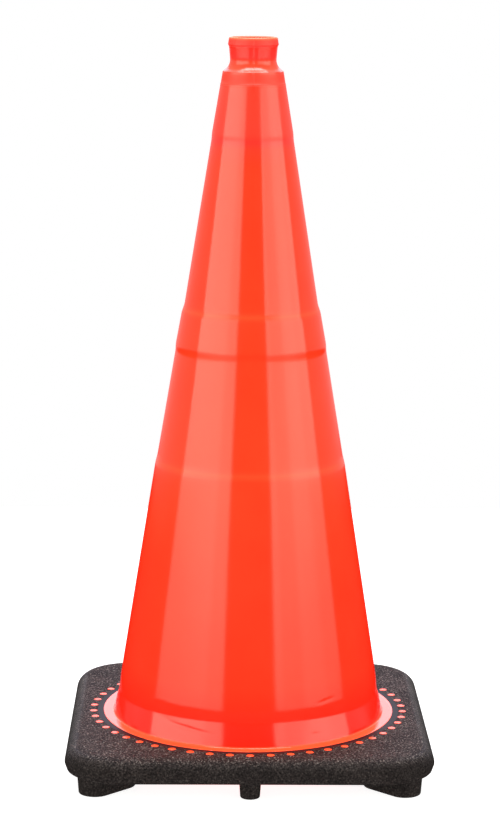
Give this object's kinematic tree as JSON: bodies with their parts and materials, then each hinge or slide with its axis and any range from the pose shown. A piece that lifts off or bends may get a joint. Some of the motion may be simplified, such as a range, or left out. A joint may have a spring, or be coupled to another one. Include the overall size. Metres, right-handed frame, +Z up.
{
  "type": "traffic cone",
  "caption": "Orange PVC road cone: hollow tapered shell with a waisted neck handle and collar seats, locked by orange studs into a square black weighted base on moulded feet.",
  "frame": {"origin": "on the ground, on the cone's axis, at the centre of the base's feet", "axes": "+Z up along the cone's axis; X and Y along the sides of the square base; -Y is the front"},
  "size_m": [0.357, 0.357, 0.711],
  "materials": {
    "orange_pvc": "glossy injection-moulded flexible PVC",
    "black_pvc": "fine-grained matte recycled PVC"
  },
  "bodies": {
    "root": {"cone_body": "orange_pvc", "weighted_base": "black_pvc", "lock_ring": "orange_pvc", "lock_studs": "orange_pvc"}
  },
  "joints": []
}
